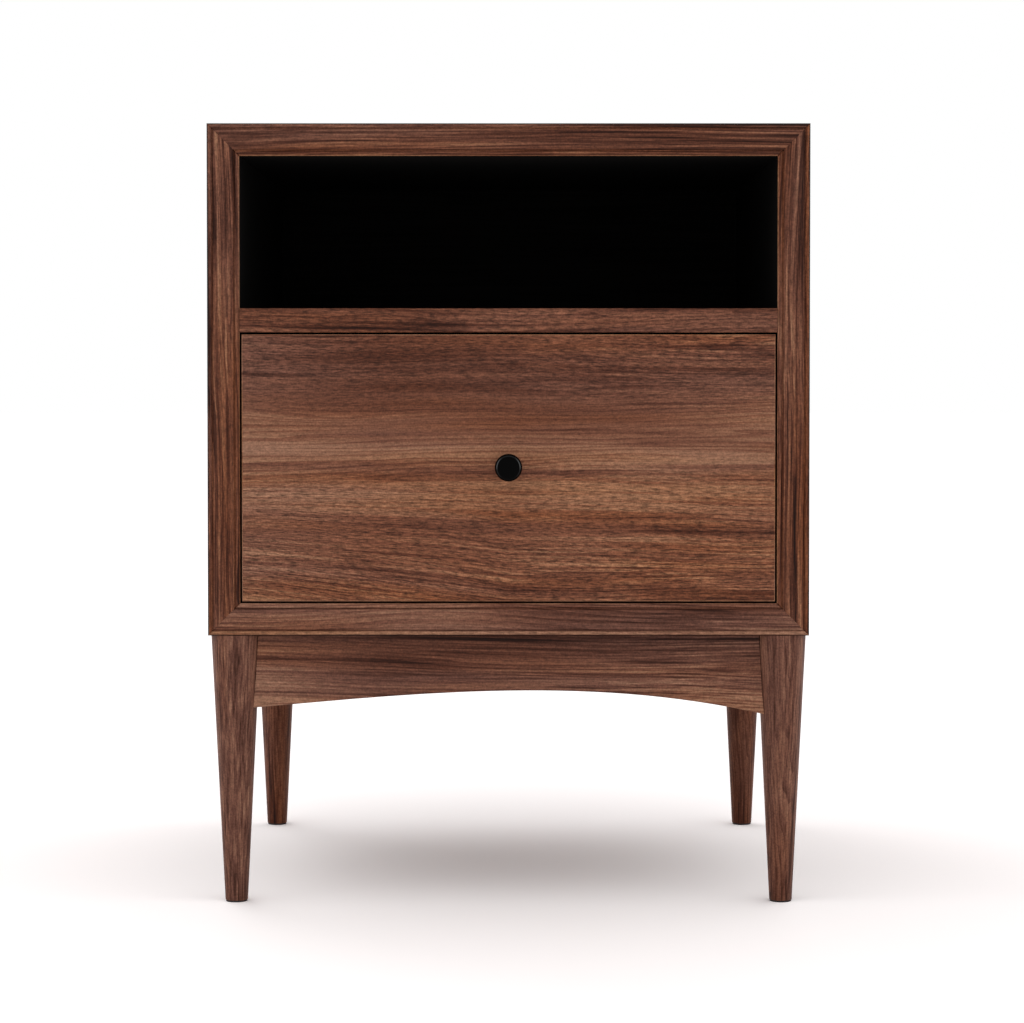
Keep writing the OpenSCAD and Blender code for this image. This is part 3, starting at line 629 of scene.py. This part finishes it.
# ---------------------------------------------------------------- apron and rails
# An arched apron and three straight rails, coped and dowelled between the legs. Their
# lower edges are eased with a plane. The apron grows paler down to its ends; its darker
# top is partly its own tone and partly painted shade under the case. The chamfers along
# its copes are painted dark, as painted shade in the joints.
RAIL_EASE = 0.0006
COPE_LINE = 0.0007
# Darker towards the top: partly the wood's tone, partly painted shade under the case.
apron_tones = [
    [(0.05, 0.76), (0.2, 0.71), (0.38, 0.66), (0.62, 0.60), (0.9, 0.51)],
    [(0.38, 0.49), (0.62, 0.45), (0.9, 0.43)],
    [(0.38, 0.52), (0.62, 0.48), (0.9, 0.44)],
    [(0.38, 0.56), (0.62, 0.48), (0.9, 0.41)],
    [(0.1, 0.70), (0.38, 0.63), (0.62, 0.53), (0.9, 0.45)],
]
# Each rail's grain and start, its tones and the node they are laid over, and how strong
# its broad bands are.
rails = {
    "apron_front": ("X", (0.19, 0.83, 0.47), apron_tones, "apron_front", 0.12),
    "rail_rear": ("X", (0.74, 0.36, 0.08), 0.46, None, 0.3),
    "rail_left": ("Y", (0.28, 0.55, 0.66), 0.46, None, 0.3),
    "rail_right": ("Y", (0.63, 0.18, 0.31), 0.46, None, 0.3),
}
# Painted shade for the chamfers along the apron's copes.
cope_shade = walnut("cope_shade", "Z", (0.5, 0.5, 0.5), 0.24, broad=0.1, figured=0.5)
apron_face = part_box("apron_front")[0].y
for node, (along, start, tones, laid_over, broad) in rails.items():
    bm = piece_of(node)
    # The lower edges are eased, and so are the apron's upright ones along the copes.
    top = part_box(node)[1].z - RAIL_EASE
    lower = []
    coped = []
    for edge in bm.edges:
        one, other = (vert.co for vert in edge.verts)
        upright = abs(one.z - other.z) > 0.9 * edge.calc_length()
        sharp = edge.calc_face_angle(0) > math.radians(60)
        if node == "apron_front" and upright and max(one.y, other.y) < apron_face + RAIL_EASE:
            coped.append(edge)
        elif sharp and not upright and max(one.z, other.z) < top:
            lower.append(edge)
    bevelled(bm, lower, RAIL_EASE, segments=2)
    for face in bevelled(bm, [edge for edge in coped if edge.is_valid], COPE_LINE, segments=1):
        face.material_index = 1
    wood = walnut(node + "_wood", along, start, tones, laid_over, 0.1, broad=broad, figured=0.85,
                  pored=0.6)
    put(bm, node + "_eased", node, "case", "walnut_solid", wood, cope_shade)
finish_nodes(birch_across, "rail_dowels")

# ---------------------------------------------------------------- corner blocks
# A birch block braces each corner of the base, screwed to both rails and up into the
# case, with a hanger bolt that draws the leg into the corner.
finish_nodes(birch_across, "corner_blocks")
put_screws("corner_block_screws", "case", rim=HEAD_RIM)
put_screws("base_screws", "case", rim=HEAD_RIM)
finish_nodes(zinc, "hanger_bolts", "hanger_washers", "hanger_nuts")

# ---------------------------------------------------------------- foot glides
# Dark nylon discs under the feet, moulded round the nails that hold them, so that the
# legs slide on a floor and stay dry.


def moulded(name, colour, roughness, specular=0.3):
    """A dark moulding or lacquer with a very fine texture."""
    material, tree, shader = surface(name, roughness=roughness, specular=specular)
    speck = layer(tree, add(tree, "TexCoord").outputs["Object"], 1500.0, 1500.0, detail=1.0)
    darker = tuple(value * 0.7 for value in colour)
    blacks = tones_of(tree, speck, [(0.4, darker), (0.6, colour)])
    tree.links.new(blacks, shader.inputs["Base Color"])
    dented(tree, shader, speck, 0.1, 0.0001)
    return material


finish_nodes(moulded("glide_nylon", (40, 32, 29), 0.6), "foot_glides")

# ---------------------------------------------------------------- drawer slides
# Ball-bearing slides in three members, rolled from zinc-plated strip, with the balls
# in pressed retainers, and rubber bumpers at the back.
rolled = plated("rolled_steel", (196, 199, 203), 0.36)
polished = plated("polished_balls", (226, 228, 232), 0.12)
finish_nodes(moulded("bumper_rubber", (28, 27, 26), 0.8), "slide_bumpers")
put_screws("slide_cabinet_screws", "case", rim=HEAD_RIM)
put_screws("slide_drawer_screws", "drawer", rim=HEAD_RIM)
for side in ("left", "right"):
    finish_nodes(rolled, f"slide_cabinet_{side}", f"slide_middle_{side}", f"slide_drawer_{side}")
    finish_nodes(zinc, f"outer_retainer_{side}", f"inner_retainer_{side}")
    finish_nodes(polished, f"outer_balls_{side}", f"inner_balls_{side}")

# ---------------------------------------------------------------- drawer box
# Birch sides dovetailed into the front and the back, round a bottom in a groove. The
# long upper edges are eased, so that they don't catch what is put in.
BOX_EASE = 0.0008
LONG_EDGE = 0.3
box_woods = {
    "drawer_box_front": birch_across,
    "drawer_box_back": birch_across,
    "drawer_side_left": birch_deep,
    "drawer_side_right": birch_deep,
}
for node, box_wood in box_woods.items():
    bm = piece_of(node)
    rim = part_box(node)[1].z - NEAR
    upper = [edge for edge in bm.edges if min(vert.co.z for vert in edge.verts) > rim]
    bevelled(bm, [edge for edge in upper if edge.calc_length() > LONG_EDGE], BOX_EASE, segments=2)
    put(bm, node + "_eased", node, "drawer", "birch", box_wood)
finish_nodes(birch_across, "drawer_bottom")
put_screws("drawer_front_screws", "drawer", rim=HEAD_RIM)
put_screws("knob_screw", "drawer", rim=HEAD_RIM)

# ---------------------------------------------------------------- drawer front
# One wide board of walnut with its grain lying across, darker towards the top and
# plainest over the knob. Its edges are eased and painted pale, as painted highlights. Four
# screws from inside hold it to the box.
front_tones = [
    [(0.0, 0.65), (0.05, 0.59), (0.15, 0.56), (0.24, 0.54), (0.33, 0.58), (0.38, 0.63), (0.44, 0.64),
     (0.49, 0.60), (0.55, 0.73), (0.62, 0.65), (0.70, 0.63), (0.76, 0.52), (0.86, 0.47), (1.0, 0.54)],
    [(0.0, 0.58), (0.13, 0.48), (0.22, 0.55), (0.29, 0.52), (0.35, 0.61), (0.42, 0.63), (0.46, 0.54),
     (0.49, 0.58), (0.54, 0.66), (0.62, 0.53), (0.68, 0.60), (0.75, 0.47), (0.85, 0.42), (1.0, 0.44)],
    [(0.0, 0.49), (0.06, 0.54), (0.16, 0.58), (0.23, 0.56), (0.29, 0.50), (0.35, 0.59), (0.41, 0.64),
     (0.47, 0.59), (0.55, 0.63), (0.61, 0.60), (0.67, 0.54), (0.76, 0.47), (0.84, 0.43), (1.0, 0.49)],
    [(0.0, 0.52), (0.06, 0.50), (0.15, 0.63), (0.23, 0.63), (0.30, 0.58), (0.38, 0.67), (0.42, 0.67),
     (0.46, 0.60), (0.50, 0.69), (0.55, 0.59), (0.66, 0.55), (0.77, 0.52), (0.84, 0.46), (1.0, 0.56)],
    [(0.0, 0.44), (0.09, 0.58), (0.21, 0.59), (0.27, 0.56), (0.33, 0.60), (0.39, 0.60), (0.45, 0.55),
     (0.51, 0.69), (0.57, 0.53), (0.62, 0.65), (0.69, 0.65), (0.76, 0.60), (0.83, 0.49), (0.94, 0.51),
     (1.0, 0.59)],
]
front_warmth = [
    [(0.0, 0.35), (0.07, 0.10), (0.14, 0.65), (0.35, 0.50), (0.42, 0.55), (0.49, 0.10), (0.63, 0.00),
     (0.70, 0.10), (0.77, 0.00), (0.84, 0.25), (0.91, 0.50), (1.0, 0.30)],
    [(0.0, 0.30), (0.07, 0.80), (0.14, 1.00), (0.28, 1.00), (0.42, 0.75), (0.49, 0.25), (0.56, 0.40),
     (0.63, 0.20), (0.70, 0.55), (0.77, 0.25), (0.84, 0.50), (1.0, 0.90)],
    [(0.2, 1.00), (0.28, 0.95), (0.35, 0.75), (0.42, 0.35), (0.49, 0.25), (0.56, 0.70), (0.63, 0.90),
     (0.77, 0.75), (0.9, 0.50)],
    [(0.14, 1.00), (0.21, 0.90), (0.28, 0.65), (0.35, 0.65), (0.42, 0.40), (0.49, 0.25), (0.56, 0.75),
     (0.70, 0.85), (0.91, 0.55), (1.0, 0.40)],
    [(0.0, 0.80), (0.07, 1.00), (0.14, 0.95), (0.28, 0.50), (0.42, 0.40), (0.49, 0.10), (0.56, 0.75),
     (0.70, 0.75), (0.84, 0.50), (0.91, 0.50), (1.0, 0.75)],
]
front_opened = [
    (0.25, 1.0), (0.38, 0.85), (0.46, 0.7), (0.55, 0.3), (0.70, 0.4), (0.81, 0.75), (0.95, 1.0),
]
front_start = (0.35, 0.47, 0.53)
front_wood = walnut("drawer_front_wood", "X", front_start, front_tones, "drawer_front", front_warmth,
                    broad=0.08, figured=0.8, fall=0.035, pored=1.6, opened=front_opened)
# A paler walnut for the eased edges: painted highlights.
front_edge_highlight = walnut("drawer_front_edge_highlight", "X", front_start, 0.70, warm=0.55, broad=0.2,
                      figured=0.5)
bm = piece_of("drawer_front")
for face in bm.faces:
    eased = -0.9 < face.normal.y < -0.3
    face.material_index = 1 if eased else 0
put(bm, "drawer_front_board", "drawer_front", "drawer", "walnut_front", front_wood, front_edge_highlight)

# ---------------------------------------------------------------- knob
# A round turned knob in satin black lacquer, held by a machine screw from inside the
# drawer. Painted glints: the rounding of its face is made glossier at either side, in its
# upper half.
lacquer = moulded("knob_lacquer", (2, 2, 2), 0.22, specular=0.03)
tree = lacquer.node_tree
facing = add(tree, "SeparateXYZ", {0: add(tree, "NewGeometry").outputs["Normal"]}).outputs
sideways = add(tree, "Math", {0: facing[0]}, operation="ABSOLUTE").outputs[0]
on_rim = sums(tree, "MULTIPLY", between(tree, facing[1], -0.95, -0.90, 0.0, 1.0),
              between(tree, facing[1], -0.84, -0.76, 1.0, 0.0))
glint_sides = sums(tree, "MULTIPLY", between(tree, sideways, 0.3, 0.42, 0.15, 1.0),
               between(tree, facing[2], -0.1, 0.05, 0.15, 1.0))
# Painted glints: gloss raised on the rim where it faces to either side and upward.
glint_gloss = between(tree, sums(tree, "MULTIPLY", on_rim, glint_sides), 0.0, 1.0, 0.03, 0.9)
tree.links.new(glint_gloss, tree.nodes["Principled BSDF"].inputs["Specular IOR Level"])
finish_nodes(lacquer, "knob")

# ---------------------------------------------------------------- floor and light
# A white paper floor that runs on into the white behind it, under an even dome of light
# and a softbox that stands behind the piece to its left.
FLOOR_R = 30  # metres
# The paper's white as it is seen, and as it throws light back at the piece. The seen white
# is a little warm, so the shadow under the piece takes a painted warm tint on top of the
# light that the walnut throws down.
PAPER_SEEN = (1.12, 1.075, 1.07, 1)
PAPER_LIT = (0.8, 0.8, 0.8, 1)
# Strength of the dome's light on the piece. Seen itself, the dome is plain white.
DOME = 1.08
# The softbox's width in metres and its power in watts.
SOFTBOX_W = 1.6
SOFTBOX_POWER = 11


def direct_rays(tree):
    """1 for the rays that show the studio itself: straight, through glass or in a gloss."""
    rays = add(tree, "LightPath").outputs
    direct = sums(tree, "MAXIMUM", rays["Is Camera Ray"], rays["Is Transmission Ray"])
    return sums(tree, "MAXIMUM", direct, rays["Is Glossy Ray"])


bm = bmesh.new()
bmesh.ops.create_circle(bm, cap_ends=True, radius=FLOOR_R, segments=64)
floor_mesh = bpy.data.meshes.new("floor")
bm.to_mesh(floor_mesh)
bm.free()
floor = bpy.data.objects.new("floor", floor_mesh)
bpy.context.scene.collection.objects.link(floor)
paper = bpy.data.materials.new("paper")
paper.use_nodes = True
tree = paper.node_tree
tree.nodes.remove(tree.nodes["Principled BSDF"])
whites = {0: direct_rays(tree), 6: PAPER_LIT, 7: PAPER_SEEN}
white = add(tree, "Mix", whites, data_type="RGBA").outputs[2]
matt = add(tree, "BsdfDiffuse", {"Color": white}).outputs[0]
tree.links.new(matt, tree.nodes["Material Output"].inputs["Surface"])
floor_mesh.materials.append(paper)

world = bpy.data.worlds.new("studio")
bpy.context.scene.world = world
world.use_nodes = True
tree = world.node_tree
sky = tree.nodes["Background"]
sky.inputs["Color"].default_value = (1, 1, 1, 1)
tree.links.new(between(tree, direct_rays(tree), 0.0, 1.0, DOME, 1.0), sky.inputs["Strength"])
lamp_data = bpy.data.lights.new("softbox", "AREA")
lamp_data.size = SOFTBOX_W
lamp_data.energy = SOFTBOX_POWER
lamp = bpy.data.objects.new("softbox", lamp_data)
lamp.location = (-1.6, 2.2, 2.2)
towards_legs = mathutils.Vector((1.6, -2.2, -2.0))
lamp.rotation_euler = towards_legs.to_track_quat("-Z", "Y").to_euler()
bpy.context.scene.collection.objects.link(lamp)

# ---------------------------------------------------------------- camera
# A long lens, level with the middle of the case and nearly straight in front of it. The
# view is lowered partly by a shift of the lens and partly by a tilt.
# The camera's place in metres, from the face frame and from the floor, and its tilt in
# degrees.
CAMERA_AWAY = 2.385
CAMERA_HEIGHT = 0.4497
CAMERA_TILT = 1.542
frame_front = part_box("face_frame_top")[0].y
camera_data = bpy.data.cameras.new("camera")
camera_data.lens = 99.5
camera_data.sensor_width = 36
camera_data.shift_x = -0.0024
camera_data.shift_y = -0.06
camera = bpy.data.objects.new("camera", camera_data)
camera.location = (0.005, frame_front - CAMERA_AWAY, CAMERA_HEIGHT)
camera.rotation_euler = (math.radians(90 - CAMERA_TILT), 0, 0)
bpy.context.scene.collection.objects.link(camera)
bpy.context.scene.camera = camera
bpy.context.scene.view_settings.view_transform = "Standard"

bpy.context.view_layer.update()
